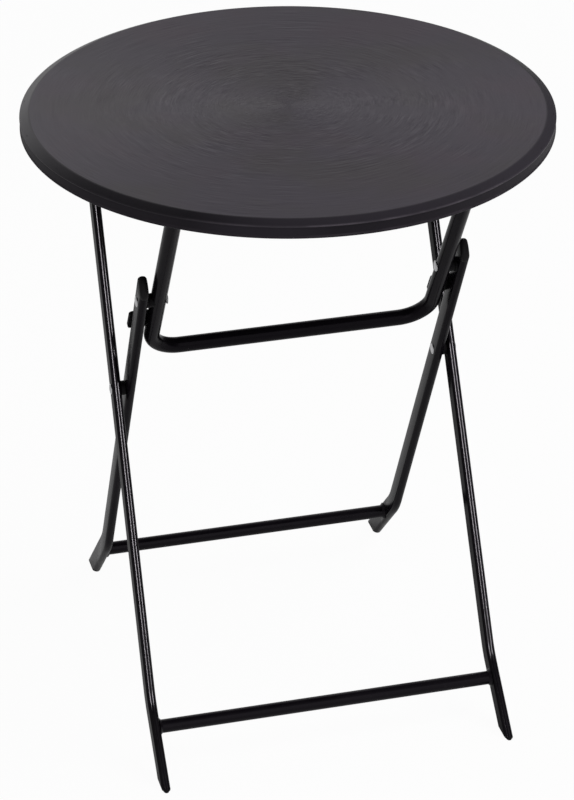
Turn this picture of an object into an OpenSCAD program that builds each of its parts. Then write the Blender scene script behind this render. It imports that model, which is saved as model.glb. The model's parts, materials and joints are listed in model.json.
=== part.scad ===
// Round folding garden table: a plastic top on a scissor frame of two leg
// frames and a U-shaped brace. Millimetres, +Z up, X along the crossbars,
// origin on the floor below the middle of the top, shown open.

/* [Tabletop] */
// Diameter of the top
top_d = 600; // [560:1:680]
// Height of the top surface above the floor
top_h = 737; // [715:1:760]
// Width of the sloping edge band seen from above
bevel_w = 10.4; // [6:0.1:14]
// Drop of the sloping edge band
bevel_drop = 4.8; // [3:0.1:7]
// Height of the upright skirt below the band
skirt_h = 14.4; // [12:0.1:16]
// Thickness of the skirt
skirt_t = 3.6; // [2.5:0.1:5]
// Thickness of the top skin
skin_t = 3.5; // [2.5:0.1:5]
// Height of the small lip and the bottom bead of the skirt
bead_h = 2; // [1:0.1:3]
// Inset of the skirt behind the lip and the bead
bead_inset = 0.8; // [0.4:0.1:1.5]

/* [Underside ribs] */
// Number of radial ribs
rib_count = 20; // [12:1:28]
// Thickness of the ribs
rib_t = 2.4; // [1.6:0.1:3.5]
// Distance of the ribs and pads above the bottom of the skirt
rib_inset = 2; // [1:0.1:3]
// Radius of the innermost rib ring
hub_ring_r = 46; // [30:1:60]
// Number of rib rings
ring_count = 4; // [2:1:4]

/* [Leg tube] */
// Width of the flat-oval leg tube
tube_w = 25; // [22:0.5:30]
// Thickness of the flat-oval leg tube
tube_t = 10.4; // [9:0.1:11]
// Wall of the steel tubes
wall = 1.2; // [0.8:0.1:1.6]
// Centre-line radius of the bend above each foot
foot_bend_r = 90; // [60:5:120]
// Lean of the foot section from upright, in degrees
foot_lean = 45; // [40:1:50]

/* [Scissor] */
// Share of the radius of the top at which the scissor pivot lies behind the middle
scissor_back_share = 0.054; // [0.03:0.001:0.08]
// Share of the height of the top at which the scissor pivot lies
scissor_height_share = 0.5354; // [0.52:0.0001:0.55]
// Share of the radius of the top at which the rear hinges lie behind the middle
rear_hinge_share = 0.5644; // [0.53:0.0001:0.6]
// Share of the radius of the top at which the front hinges lie ahead of the middle
front_hinge_share = 0.5026; // [0.48:0.0001:0.53]
// Extra lean of the inner legs over the outer legs, in degrees
extra_lean = 0.05; // [0:0.01:0.5]
// Share of the diameter of the top at which the outer legs stand off the middle plane
outer_span_share = 0.3372; // [0.32:0.0001:0.35]
// Gap between the leg tubes at the scissor pivot
scissor_gap = 5.5; // [4:0.1:9]
// Splay of the outer legs, in degrees
outer_splay = 0.6; // [0:0.1:0.8]
// Height of the bend corner of the outer legs
outer_corner_z = 71; // [58:0.5:90]
// Height of the bend corner of the inner legs
inner_corner_z = 91.5; // [88:0.5:110]
// Diameter of the crossbars
crossbar_d = 16; // [12:0.1:18]
// Height of the crossbar of the outer frame
outer_bar_z = 49; // [40:0.5:60]
// Height of the crossbar of the inner frame
inner_bar_z = 58.5; // [54:0.5:75]
// Size of the weld collar at the ends of the crossbars
weld = 3; // [1.5:0.1:4]

/* [Brace] */
// Depth of the hinges below the top surface
hinge_drop = 52; // [48:0.1:56]
// Diameter of the round brace tube
brace_d = 18.4; // [16:0.1:19]
// Gap between the brace tube and the inner legs
brace_gap = 5.2; // [4:0.1:9]
// Distance of the bar of the brace below its pivot
bar_drop = 108.5; // [95:0.5:115]
// Centre-line radius of the two brace bends
brace_bend_r = 36; // [30:1:50]
// Distance of the stop block below the brace pivot
stop_start = 43.5; // [42:0.5:54]
// Length of the stop block
stop_len = 30; // [22:0.5:32]
// Thickness of the stop block
stop_t = 4.5; // [3:0.1:6]
// Radius of the corners of the stop block
stop_corner_r = 4; // [2:0.5:6]
// Reach of the stop block inboard of the middle of the brace tube
stop_in = 4.2; // [3.8:0.1:10]
// Reach of the stop block beyond the outer face of the inner leg
stop_out = 1.8; // [0:0.1:3]

/* [Pivots] */
// Diameter of the pivot rivets
rivet_d = 8; // [6:0.1:9]
// Diameter of the rivet heads
head_d = 12.5; // [11:0.1:14]
// Height of the rivet heads on the outside
head_h = 1.7; // [1.4:0.1:2.5]
// Height of the low rivet heads between the tubes
low_head_h = 1.3; // [0.8:0.1:1.4]
// Diameter of the black spacers on the rivets
spacer_d = 17; // [15:0.1:20]

/* [Hinge brackets] */
// Thickness of the bracket sheet
sheet_t = 2; // [1.5:0.1:2.5]
// Width of the bracket ears
ear_w = 20; // [16:0.5:26]
// Length of the bracket bases
base_len = 64; // [60:1:70]
// Width of the base of the brace brackets
brace_base_w = 30; // [26:0.5:32]
// Distance of the bracket screws from the hinge line
screw_reach = 24; // [21:0.5:26]
// Diameter of the screws
screw_d = 4; // [3.5:0.1:4.5]
// Diameter of the screw heads
screw_head_d = 7.6; // [7:0.1:8.4]
// Height of the screw heads
screw_head_h = 2.4; // [1.5:0.1:3]

/* [Plastic plugs] */
// Height of the foot lip below the end of the tube
foot_lip = 4; // [2:0.1:5]
// Step that rounds off the lower half of the foot lip
foot_step = 2; // [0.5:0.1:2.2]
// Depth of the plugs inside the tubes
plug_depth = 18; // [12:0.5:24]
// Length of the tube ends beyond the hinges
tube_end = 11; // [9:0.1:12]
// Thickness of the end lips at the hinges
end_lip = 1.5; // [1:0.1:2]
// Distance of the top of the inner legs beyond the brace pivot
cap_reach = 36.5; // [34:0.5:44]
// Height of the slope of the cap on the inner legs
cap_slope = 12; // [8:0.5:16]
// Radius of the rounded tip of the cap
cap_tip_r = 6; // [4:0.5:8]
// Radius of the crown of the cap seen from the front
cap_crown_r = 5.6; // [5.5:0.1:12]
// Length of tube below the cap above the brace pivot
cap_start = 18; // [11:0.5:18]

/* [Clearances] */
// Radial clearance of the pivot rivets in the turning tubes
pivot_play = 0.05; // [0.01:0.01:0.1]
// Gap between faces that turn past each other
face_gap = 0.3; // [0.2:0.05:0.5]
// Gap between the splayed tube and the ears of its bracket
ear_gap = 0.5; // [0.4:0.05:0.8]

/* [Hidden] */
$fn = 48;
// Facets of the bends and of the edge of the top
bend_fn = 96;
edge_fn = 180;
// One overrun for every cut that has to pass a face
over = 1;
// Each foot section runs into its bend by a lap, on a step that the eye can't see
bend_lap = 1;
bend_step = 0.05;

// Colours
c_top = [0.2, 0.2, 0.21];
c_tube = [0.07, 0.07, 0.075];
c_plug = [0.03, 0.03, 0.03];
c_zinc = [0.72, 0.72, 0.74];

// Heights of the top
top_r = top_d / 2;
skirt_bottom_z = top_h - bevel_drop - skirt_h;
under_z = skirt_bottom_z + rib_inset;
lip_z = top_h - bevel_drop;

// Linkage seen from the side. The brace pivot lies where the four links fold into
// one line: outer link - brace reach + brace link = hinge spacing.
hinge_z = top_h - hinge_drop;
scissor_y = scissor_back_share * top_r;
scissor_z = scissor_height_share * top_h;
rear_hinge_y = rear_hinge_share * top_r;
front_hinge_y = -front_hinge_share * top_r;
outer_lean = atan2(rear_hinge_y - scissor_y, hinge_z - scissor_z);
inner_lean = outer_lean + extra_lean;
outer_link = (hinge_z - scissor_z) / cos(outer_lean);
link_rest = rear_hinge_y - front_hinge_y - outer_link;
hinge_run = scissor_y - front_hinge_y;
hinge_fall = hinge_z - scissor_z;
brace_reach = (pow(hinge_run, 2) + pow(hinge_fall, 2) - pow(link_rest, 2))
    / (2 * (link_rest + hinge_run * sin(inner_lean) + hinge_fall * cos(inner_lean)));
brace_link = link_rest + brace_reach;
brace_y = scissor_y - brace_reach * sin(inner_lean);
brace_z = scissor_z + brace_reach * cos(inner_lean);
brace_lean = atan2(brace_y - front_hinge_y, hinge_z - brace_z);

// Turns from open to folded flat
outer_fold = 90 - outer_lean;
inner_fold = 180 - (90 - inner_lean) - outer_fold;
brace_fold = 90 - brace_lean;

// Half spans of the tubes and of their faces at the pivots
outer_half_span = outer_span_share * top_d;
inner_half_span = outer_half_span - tube_t - scissor_gap;
brace_half_span = inner_half_span - (tube_t + brace_d) / 2 - brace_gap;
inner_face_out = inner_half_span + tube_t / 2;
inner_face_in = inner_half_span - tube_t / 2;
brace_face_out = brace_half_span + brace_d / 2;
brace_face_in = brace_half_span - brace_d / 2;
brace_mid_gap = (inner_face_in + brace_face_out) / 2;
// How far a splayed face leans away over half a spacer
splay_rise = spacer_d / 2 * tan(outer_splay);
rear_hinge_x = outer_half_span - outer_link * tan(outer_splay);

// Faces of the hinge brackets across the table
bracket_x0 = rear_hinge_x - tube_t / 2 - ear_gap - sheet_t;
bracket_x1 = rear_hinge_x + tube_t / 2 + ear_gap + sheet_t;
brace_ear_x1 = brace_face_in - face_gap;
brace_ear_x0 = brace_ear_x1 - sheet_t;
brace_screw_x = brace_ear_x1 - brace_base_w / 2;

// Local height of a point on the outer legs, measured up the leg from the scissor
function up_outer(y, z) = (y - scissor_y) * sin(outer_lean) + (z - scissor_z) * cos(outer_lean);
function inner_face_of_outer(y, z) =
    outer_half_span - up_outer(y, z) * tan(outer_splay) - tube_t / 2 / cos(outer_splay);

// Leg lines: corner of the bend, and the foot line down to the floor
outer_corner_y = scissor_y - (scissor_z - outer_corner_z) * tan(outer_lean);
inner_corner_y = scissor_y + (scissor_z - inner_corner_z) * tan(inner_lean);
function outer_foot_y(z) = outer_corner_y - (outer_corner_z - z) * tan(foot_lean);
function inner_foot_y(z) = inner_corner_y + (inner_corner_z - z) * tan(foot_lean);

outer_corner_down = (scissor_z - outer_corner_z) / cos(outer_lean);
inner_corner_down = (scissor_z - inner_corner_z) / cos(inner_lean);

// Rib rings are spread evenly between the hub and the skirt
ring_step = (top_r - skirt_t - hub_ring_r) / ring_count;

// Sides: -1 is left, 1 is right
module on_side(side) {
    if (side > 0) children();
    else mirror([1, 0, 0]) children();
}

// Flat-oval outline, long way along y, drawn in by an inset
module flat_oval(inset = 0) {
    square([tube_t - 2 * inset, tube_w - tube_t], center = true);
    for (s = [-1, 1]) translate([0, s * (tube_w - tube_t) / 2]) circle(d = tube_t - 2 * inset);
}

// The same outline with its long way along x
module flat_oval_across(inset) {
    square([tube_w - tube_t, tube_t - 2 * inset], center = true);
    for (s = [-1, 1]) translate([s * (tube_w - tube_t) / 2, 0]) circle(d = tube_t - 2 * inset);
}

// Distance of the start of the bend below the pivot
function bend_at(corner_down, lean) = corner_down - foot_bend_r * tan((foot_lean - lean) / 2);

// The straight foot section below the bend, turned to -y
module foot_section(corner_down, lean, inset, lap = 0) {
    foot_len = corner_down + tube_w;
    translate([0, -foot_bend_r, -bend_at(corner_down, lean)]) rotate([lean - foot_lean, 0, 0])
        translate([0, foot_bend_r, -foot_len]) linear_extrude(foot_len + lap) flat_oval(inset);
}

// A leg along z with its pivot at the origin
module leg_path(up, corner_down, lean, inset) {
    start = bend_at(corner_down, lean);
    translate([0, 0, -start]) linear_extrude(start + up) flat_oval(inset);
    translate([0, -foot_bend_r, -start]) rotate([-90, 0, 90])
        rotate_extrude(angle = foot_lean - lean, $fn = bend_fn) translate([foot_bend_r, 0])
            flat_oval_across(inset);
    foot_section(corner_down, lean, inset + bend_step, bend_lap);
}

module leg_tube(up, corner_down, lean) {
    difference() {
        leg_path(up, corner_down, lean, 0);
        leg_path(up + over, corner_down, lean, wall);
    }
}

// Places a right-hand leg of each frame: its own z axis runs up the leg
module place_outer() {
    translate([outer_half_span, scissor_y, scissor_z]) rotate([-outer_lean, 0, 0])
        rotate([0, -outer_splay, 0]) children();
}

module place_inner() {
    translate([inner_half_span, scissor_y, scissor_z]) rotate([inner_lean, 0, 0])
        mirror([0, 1, 0]) children();
}

module place_leg(outer) {
    if (outer) place_outer() children();
    else place_inner() children();
}

// Places a piece in the brace's own frame: x across, z up the brace, pivot at the origin
module place_brace() {
    translate([0, brace_y, brace_z]) rotate([brace_lean, 0, 0]) children();
}

// A slab across the whole table between two heights
module slab(z0, z1) {
    translate([-top_r, -top_d, z0]) cube([top_d, 2 * top_d, z1 - z0]);
}

// A cylinder along x between two distances from the middle plane
module rod_x(d, x0, x1, y, z) {
    translate([x0, y, z]) rotate([0, 90, 0]) cylinder(d = d, h = x1 - x0);
}

// Domed rivet head: a low cylinder with a smaller step on it, rising along x
module head_x(x, h, y, z, outward) {
    step = h / 3;
    translate([x, y, z]) rotate([0, outward ? 90 : -90, 0]) {
        cylinder(d = head_d, h = h - step);
        translate([0, 0, h - step]) cylinder(d1 = head_d, d2 = head_d - 4 * step, h = step);
    }
}

// Tabletop
module top_profile() {
    r_lip = top_r;
    r_skirt = top_r - bead_inset;
    r_in = r_skirt - skirt_t;
    polygon([[0, top_h], [r_lip - bevel_w, top_h], [r_lip, lip_z], [r_lip, lip_z - bead_h / 2],
        [r_skirt, lip_z - bead_h], [r_skirt, skirt_bottom_z + 3 * bead_h / 2],
        [r_lip, skirt_bottom_z + bead_h], [r_lip, skirt_bottom_z + bead_h / 2],
        [r_skirt, skirt_bottom_z], [r_in, skirt_bottom_z], [r_in, lip_z - skin_t],
        [r_lip - bevel_w - skin_t, top_h - skin_t], [0, top_h - skin_t]]);
}

module rib_ring(r) {
    translate([0, 0, under_z]) linear_extrude(top_h - skin_t / 2 - under_z) difference() {
        circle(r = r + rib_t / 2);
        circle(r = r - rib_t / 2);
    }
}

// Moulded pads that carry the bracket bases
module bracket_pads() {
    h = top_h - skin_t / 2 - under_z;
    for (side = [-1, 1]) on_side(side) {
        translate([bracket_x0 - rib_t, rear_hinge_y - base_len / 2, under_z])
            cube([bracket_x1 - bracket_x0 + 2 * rib_t, base_len, h]);
        translate([brace_ear_x1 - brace_base_w - rib_t, front_hinge_y - base_len / 2, under_z])
            cube([brace_base_w + 2 * rib_t, base_len, h]);
    }
}

module each_screw() {
    for (side = [-1, 1], end = [-1, 1]) on_side(side) {
        translate([rear_hinge_x, rear_hinge_y + end * screw_reach, under_z]) children();
        translate([brace_screw_x, front_hinge_y + end * screw_reach, under_z]) children();
    }
}

module tabletop_panel() {
    h = top_h - skin_t / 2 - under_z;
    color(c_top) difference() {
        union() {
            rotate_extrude($fn = edge_fn) top_profile();
            for (i = [0 : ring_count - 1]) rib_ring(hub_ring_r + i * ring_step);
            intersection() {
                union() for (i = [0 : rib_count - 1]) rotate(i * 360 / rib_count)
                    translate([hub_ring_r, -rib_t / 2, under_z]) cube([top_r - hub_ring_r, rib_t, h]);
                translate([0, 0, under_z]) cylinder(r = top_r - bead_inset - skirt_t / 2, h = h);
            }
            bracket_pads();
        }
        each_screw() translate([0, 0, -over]) cylinder(d = screw_d, h = over + screw_len());
    }
}

function screw_len() = top_h - skin_t - under_z;

// Brackets under the top
module ear_2d(drop) {
    translate([-ear_w / 2, 0]) square([ear_w, drop]);
    circle(d = ear_w);
}

// An upright ear along the y z plane, hinge hole drilled for the rivet
module ear(x0, y) {
    translate([x0, y, hinge_z]) rotate([90, 0, 90]) linear_extrude(sheet_t) difference() {
        ear_2d(under_z - hinge_z);
        circle(d = rivet_d);
    }
}

module bracket_base(x0, x1, y) {
    difference() {
        translate([x0, y - base_len / 2, skirt_bottom_z])
            cube([x1 - x0, base_len, rib_inset]);
        each_screw() translate([0, 0, -rib_inset - over]) cylinder(d = screw_d, h = rib_inset + 2 * over);
    }
}

module rear_bracket(side) {
    color(c_tube) on_side(side) {
        ear(bracket_x0, rear_hinge_y);
        ear(bracket_x1 - sheet_t, rear_hinge_y);
        bracket_base(bracket_x0, bracket_x1, rear_hinge_y);
    }
}

module front_bracket(side) {
    color(c_tube) on_side(side) {
        ear(brace_ear_x0, front_hinge_y);
        bracket_base(brace_ear_x1 - brace_base_w, brace_ear_x1, front_hinge_y);
    }
}

module bracket_screws() {
    color(c_zinc) each_screw() {
        translate([0, 0, -rib_inset]) cylinder(d = screw_d, h = rib_inset + screw_len());
        translate([0, 0, -rib_inset - screw_head_h / 2]) cylinder(d = screw_head_d, h = screw_head_h / 2);
        translate([0, 0, -rib_inset - screw_head_h])
            cylinder(d1 = screw_head_d / 2, d2 = screw_head_d, h = screw_head_h / 2);
    }
}

module rear_hinge_rivets() {
    color(c_zinc) for (side = [-1, 1]) on_side(side) {
        rod_x(rivet_d, bracket_x0, bracket_x1, rear_hinge_y, hinge_z);
        head_x(bracket_x1, head_h, rear_hinge_y, hinge_z, true);
        head_x(bracket_x0, low_head_h, rear_hinge_y, hinge_z, false);
    }
}

module front_hinge_rivets() {
    end_x = brace_face_out + face_gap / 2;
    color(c_tube) for (side = [-1, 1]) on_side(side) {
        rod_x(rivet_d, brace_ear_x0, end_x, front_hinge_y, hinge_z);
        head_x(end_x, low_head_h, front_hinge_y, hinge_z, true);
        head_x(brace_ear_x0, head_h, front_hinge_y, hinge_z, false);
    }
}

// Outer leg frame
module outer_leg(side) {
    color(c_tube) on_side(side) difference() {
        place_leg(true) leg_tube(outer_link + tube_end, outer_corner_down, outer_lean);
        slab(-top_h, foot_lip);
        rod_x(rivet_d, 0, top_r, scissor_y, scissor_z);
        rod_x(rivet_d + 2 * pivot_play, 0, top_r, rear_hinge_y, hinge_z);
    }
}

// A crossbar between two faces, with a weld collar at each end
module crossbar(half, y, z) {
    rod_x(crossbar_d, -half, half, y, z);
    for (side = [-1, 1]) on_side(side) translate([half, y, z]) rotate([0, -90, 0])
        cylinder(d1 = crossbar_d + 2 * weld, d2 = crossbar_d, h = weld);
}

module crossbar_tube(half, y, z) {
    difference() {
        crossbar(half, y, z);
        rod_x(crossbar_d - 2 * wall, -half - over, half + over, y, z);
    }
}

module outer_crossbar() {
    y = outer_foot_y(outer_bar_z);
    color(c_tube) crossbar_tube(inner_face_of_outer(y, outer_bar_z), y, outer_bar_z);
}

// A plug inside a foot, with a lip below the tube down to the floor
module foot_plug(outer) {
    lean = outer ? outer_lean : inner_lean;
    corner_down = outer ? outer_corner_down : inner_corner_down;
    intersection() {
        place_leg(outer) foot_section(corner_down, lean, wall + bend_step);
        slab(foot_lip, foot_lip + plug_depth);
    }
    intersection() {
        place_leg(outer) foot_section(corner_down, lean, bend_step);
        slab(foot_lip / 2, foot_lip);
    }
    intersection() {
        place_leg(outer) foot_section(corner_down, lean, foot_step);
        slab(0, foot_lip / 2);
    }
}

module outer_foot_plug(side) {
    color(c_plug) on_side(side) foot_plug(true);
}

module outer_end_plugs() {
    color(c_plug) for (side = [-1, 1]) on_side(side) place_outer() {
        translate([0, 0, outer_link + tube_end]) linear_extrude(end_lip) flat_oval();
        translate([0, 0, outer_link + tube_end - (tube_end - rivet_d / 2) / 2])
            linear_extrude((tube_end - rivet_d / 2) / 2)
                flat_oval(wall);
    }
}

module scissor_rivets() {
    outer_face = outer_half_span + tube_t / 2 + head_d / 2 * tan(outer_splay);
    inner_end = inner_face_in - face_gap / 2;
    color(c_zinc) for (side = [-1, 1]) on_side(side) {
        rod_x(rivet_d, inner_end, outer_face, scissor_y, scissor_z);
        head_x(outer_face, head_h, scissor_y, scissor_z, true);
        head_x(inner_end, low_head_h, scissor_y, scissor_z, false);
    }
}

module scissor_spacers() {
    x0 = inner_face_out + face_gap;
    x1 = outer_half_span - tube_t / 2 - splay_rise;
    color(c_plug) for (side = [-1, 1]) on_side(side) difference() {
        rod_x(spacer_d, x0, x1, scissor_y, scissor_z);
        rod_x(rivet_d, x0 - over, x1 + over, scissor_y, scissor_z);
    }
}

// Inner leg frame
module inner_leg(side) {
    color(c_tube) on_side(side) difference() {
        place_leg(false) leg_tube(brace_reach + cap_start, inner_corner_down, inner_lean);
        slab(-top_h, foot_lip);
        rod_x(rivet_d + 2 * pivot_play, 0, top_r, scissor_y, scissor_z);
        rod_x(rivet_d, 0, top_r, brace_y, brace_z);
    }
}

module inner_crossbar() {
    y = inner_foot_y(inner_bar_z);
    color(c_tube) crossbar_tube(inner_face_in, y, inner_bar_z);
}

module inner_foot_plug(side) {
    color(c_plug) on_side(side) foot_plug(false);
}

// Side outline of the sloping cap, drawn with the leg's front to the left
module cap_side_2d() {
    w = tube_w / 2;
    tip_y = w - cap_tip_r;
    tip_z = cap_reach - cap_start - cap_tip_r;
    polygon([[-w, 0], [w, 0], [w, tip_z], [tip_y, tip_z + cap_tip_r],
        [tip_y - cap_tip_r / 2, tip_z + cap_tip_r], [-w, tip_z + cap_tip_r - cap_slope]]);
    translate([tip_y, tip_z]) circle(r = cap_tip_r);
}

// Front outline of the cap, with a low crown
module cap_front_2d() {
    crown_z = cap_reach - cap_start - cap_crown_r;
    translate([-tube_t, 0]) square([2 * tube_t, crown_z]);
    translate([0, crown_z]) circle(r = cap_crown_r);
}

module inner_top_cap(side) {
    color(c_plug) on_side(side) place_inner() mirror([0, 1, 0]) translate([0, 0, brace_reach + cap_start]) {
        intersection() {
            linear_extrude(cap_reach) flat_oval();
            rotate([90, 0, 90]) translate([0, 0, -tube_t]) linear_extrude(2 * tube_t) cap_side_2d();
            rotate([90, 0, 0]) translate([0, 0, -tube_w]) linear_extrude(2 * tube_w) cap_front_2d();
        }
        translate([0, 0, -(cap_start - rivet_d / 2) / 2]) linear_extrude((cap_start - rivet_d / 2) / 2)
            flat_oval(wall);
    }
}

// The brace pivot is built in two halves that face each other across a gap
module brace_rivets_outer() {
    color(c_zinc) for (side = [-1, 1]) on_side(side) {
        rod_x(rivet_d, inner_face_in, inner_face_out, brace_y, brace_z);
        head_x(inner_face_out, head_h, brace_y, brace_z, true);
    }
}

module brace_spacers() {
    color(c_plug) for (side = [-1, 1]) on_side(side)
        rod_x(spacer_d, brace_mid_gap + face_gap / 2, inner_face_in, brace_y, brace_z);
}

module brace_rivets_inner() {
    in_x = brace_face_in - head_h;
    out_x = brace_mid_gap - face_gap / 2;
    color(c_zinc) for (side = [-1, 1]) on_side(side) {
        rod_x(rivet_d, brace_face_in - head_h / 2, out_x, brace_y, brace_z);
        difference() {
            union() {
                rod_x(head_d, in_x, brace_half_span, brace_y, brace_z);
                rod_x(head_d, brace_half_span, out_x, brace_y, brace_z);
            }
            place_brace() translate([brace_half_span, 0, -head_d]) cylinder(d = brace_d, h = 2 * head_d);
        }
    }
}

// U-shaped brace tube. Its hinge ends lie up the brace, its bar below.
brace_up = brace_link + tube_end;
brace_down = bar_drop;

module u_bar_solid(d) {
    side_h = brace_up + brace_down - brace_bend_r;
    bar_half = brace_half_span - brace_bend_r;
    for (side = [-1, 1]) on_side(side) {
        translate([brace_half_span, 0, -brace_down + brace_bend_r]) cylinder(d = d, h = side_h);
        translate([bar_half, 0, -brace_down + brace_bend_r]) rotate([-90, 0, 0])
            rotate_extrude(angle = 90, $fn = bend_fn) translate([brace_bend_r, 0]) circle(d = d);
    }
    translate([-bar_half, 0, -brace_down]) rotate([0, 90, 0]) cylinder(d = d, h = 2 * bar_half);
}

module u_bar() {
    color(c_tube) difference() {
        place_brace() difference() {
            u_bar_solid(brace_d);
            u_bar_solid(brace_d - 2 * wall);
        }
        for (side = [-1, 1]) on_side(side) {
            rod_x(rivet_d, brace_face_in - over, brace_face_out + over, brace_y, brace_z);
            rod_x(rivet_d + 2 * pivot_play, brace_face_in - over, brace_face_out + over,
                front_hinge_y, hinge_z);
            place_stop_screw() cylinder(d = screw_d, h = brace_d);
        }
    }
}

module u_bar_end_plugs() {
    color(c_plug) for (side = [-1, 1]) on_side(side) place_brace()
        translate([brace_half_span, 0, brace_up]) {
            cylinder(d = brace_d, h = end_lip);
            translate([0, 0, -(tube_end - rivet_d / 2) / 2])
                cylinder(d = brace_d - 2 * wall, h = (tube_end - rivet_d / 2) / 2);
        }
}

// Stop block: a plate behind the brace that reaches out behind the inner leg.
// Its front face keeps the face gap behind the leg in the open pose.
stop_turn = brace_lean - inner_lean;
stop_back = max(brace_d / 2, face_gap + tube_w / 2 / cos(stop_turn)
    - min(stop_start * tan(stop_turn), (stop_start + stop_len) * tan(stop_turn)));
stop_x0 = brace_half_span - stop_in;
stop_x1 = inner_face_out + stop_out;

// Axis of a stop screw, with z running back from the middle of the brace tube
module place_stop_screw() {
    place_brace() translate([brace_half_span, 0, -stop_start - stop_len / 2]) rotate([-90, 0, 0])
        children();
}

// Outline of the plate of a stop block, with rounded corners
module stop_plate_2d() {
    w = stop_x1 - stop_x0;
    r = stop_corner_r;
    translate([stop_x0, -stop_start - stop_len]) {
        translate([r, 0]) square([w - 2 * r, stop_len]);
        translate([0, r]) square([w, stop_len - 2 * r]);
        for (x = [r, w - r], z = [r, stop_len - r]) translate([x, z]) circle(r = r);
    }
}

module stop_block(side) {
    saddle = brace_d / 4;
    color(c_plug) on_side(side) difference() {
        place_brace() {
            translate([0, stop_back + stop_t, 0]) rotate([90, 0, 0])
                linear_extrude(stop_t) stop_plate_2d();
            translate([stop_x0 + stop_corner_r / 2, saddle, -stop_start - stop_len + stop_corner_r])
                cube([stop_in + saddle - stop_corner_r / 2, stop_back - saddle + stop_t / 2,
                    stop_len - 2 * stop_corner_r]);
        }
        place_brace() translate([brace_half_span, 0, -stop_start - stop_len - over])
            cylinder(d = brace_d, h = stop_len + 2 * over);
        place_stop_screw() cylinder(d = screw_d, h = stop_back + stop_t + over);
    }
}

module stop_screws() {
    tip = brace_d / 2 - 2 * wall;
    seat = stop_back + stop_t;
    color(c_zinc) for (side = [-1, 1]) on_side(side) place_stop_screw() {
        translate([0, 0, tip]) cylinder(d = screw_d, h = seat + screw_head_h / 2 - tip);
        translate([0, 0, seat]) cylinder(d = screw_head_d, h = screw_head_h / 2);
        translate([0, 0, seat + screw_head_h / 2])
            cylinder(d1 = screw_head_d, d2 = screw_head_d / 2, h = screw_head_h / 2);
    }
}

echo(rear_hinge = [rear_hinge_y, hinge_z], front_hinge = [front_hinge_y, hinge_z]);
echo(scissor = [scissor_y, scissor_z], brace_pivot = [brace_y, brace_z], brace_lean = brace_lean);
echo(reach = brace_reach, link = brace_link, feet = [outer_foot_y(0), inner_foot_y(0)]);
echo(folds = [outer_fold, inner_fold, brace_fold]);

tabletop_panel();
rear_bracket(-1);  // rear_bracket_left
rear_bracket(1);  // rear_bracket_right
front_bracket(-1);  // front_bracket_left
front_bracket(1);  // front_bracket_right
bracket_screws();
rear_hinge_rivets();
front_hinge_rivets();
outer_leg(-1);  // outer_leg_left
outer_leg(1);  // outer_leg_right
outer_crossbar();
outer_foot_plug(-1);  // outer_foot_plug_left
outer_foot_plug(1);  // outer_foot_plug_right
outer_end_plugs();
scissor_rivets();
scissor_spacers();
inner_leg(-1);  // inner_leg_left
inner_leg(1);  // inner_leg_right
inner_crossbar();
inner_foot_plug(-1);  // inner_foot_plug_left
inner_foot_plug(1);  // inner_foot_plug_right
inner_top_cap(-1);  // inner_top_cap_left
inner_top_cap(1);  // inner_top_cap_right
brace_rivets_outer();
brace_spacers();
u_bar();
stop_block(-1);  // stop_block_left
stop_block(1);  // stop_block_right
stop_screws();
brace_rivets_inner();
u_bar_end_plugs();
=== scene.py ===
import json
import math
import bmesh
import bpy
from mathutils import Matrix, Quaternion, Vector


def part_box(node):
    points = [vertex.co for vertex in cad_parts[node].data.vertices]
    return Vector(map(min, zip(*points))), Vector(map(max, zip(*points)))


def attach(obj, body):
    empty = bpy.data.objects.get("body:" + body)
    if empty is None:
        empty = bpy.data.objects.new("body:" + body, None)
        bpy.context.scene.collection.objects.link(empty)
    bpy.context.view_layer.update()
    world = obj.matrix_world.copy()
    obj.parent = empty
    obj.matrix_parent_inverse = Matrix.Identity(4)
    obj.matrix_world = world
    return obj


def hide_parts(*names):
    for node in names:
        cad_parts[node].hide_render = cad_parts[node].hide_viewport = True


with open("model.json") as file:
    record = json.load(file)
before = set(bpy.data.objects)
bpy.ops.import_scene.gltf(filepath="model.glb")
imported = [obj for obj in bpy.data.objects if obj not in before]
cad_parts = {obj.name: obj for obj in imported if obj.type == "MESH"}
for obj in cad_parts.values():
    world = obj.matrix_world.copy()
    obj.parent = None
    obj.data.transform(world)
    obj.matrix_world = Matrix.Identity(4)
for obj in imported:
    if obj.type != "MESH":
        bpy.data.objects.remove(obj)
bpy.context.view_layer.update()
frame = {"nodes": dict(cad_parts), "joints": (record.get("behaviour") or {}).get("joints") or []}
NODES = frame["nodes"]
JOINTS = {joint["name"]: joint for joint in frame["joints"]}
scene = bpy.context.scene
scene.view_settings.view_transform = "Standard"


def pivot(joint):
    """The y and z of a joint, in mm."""
    return JOINTS[joint]["pos_m"][1] * 1000, JOINTS[joint]["pos_m"][2] * 1000


# Places of the pivots in mm, and the line of an inner leg from the scissor pivot to the brace pivot
SCISSOR_Y, SCISSOR_Z = pivot("scissor_pivot")
REAR_Y, REAR_Z = pivot("outer_frame_hinge")
FRONT_Y, FRONT_Z = pivot("brace_hinge")
lo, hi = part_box("brace_rivets_outer")
BRACE_Y, BRACE_Z = (lo.y + hi.y) * 500, (lo.z + hi.z) * 500
LEAN = math.atan2(SCISSOR_Y - BRACE_Y, BRACE_Z - SCISSOR_Z)
REACH = math.hypot(SCISSOR_Y - BRACE_Y, BRACE_Z - SCISSOR_Z)

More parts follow.
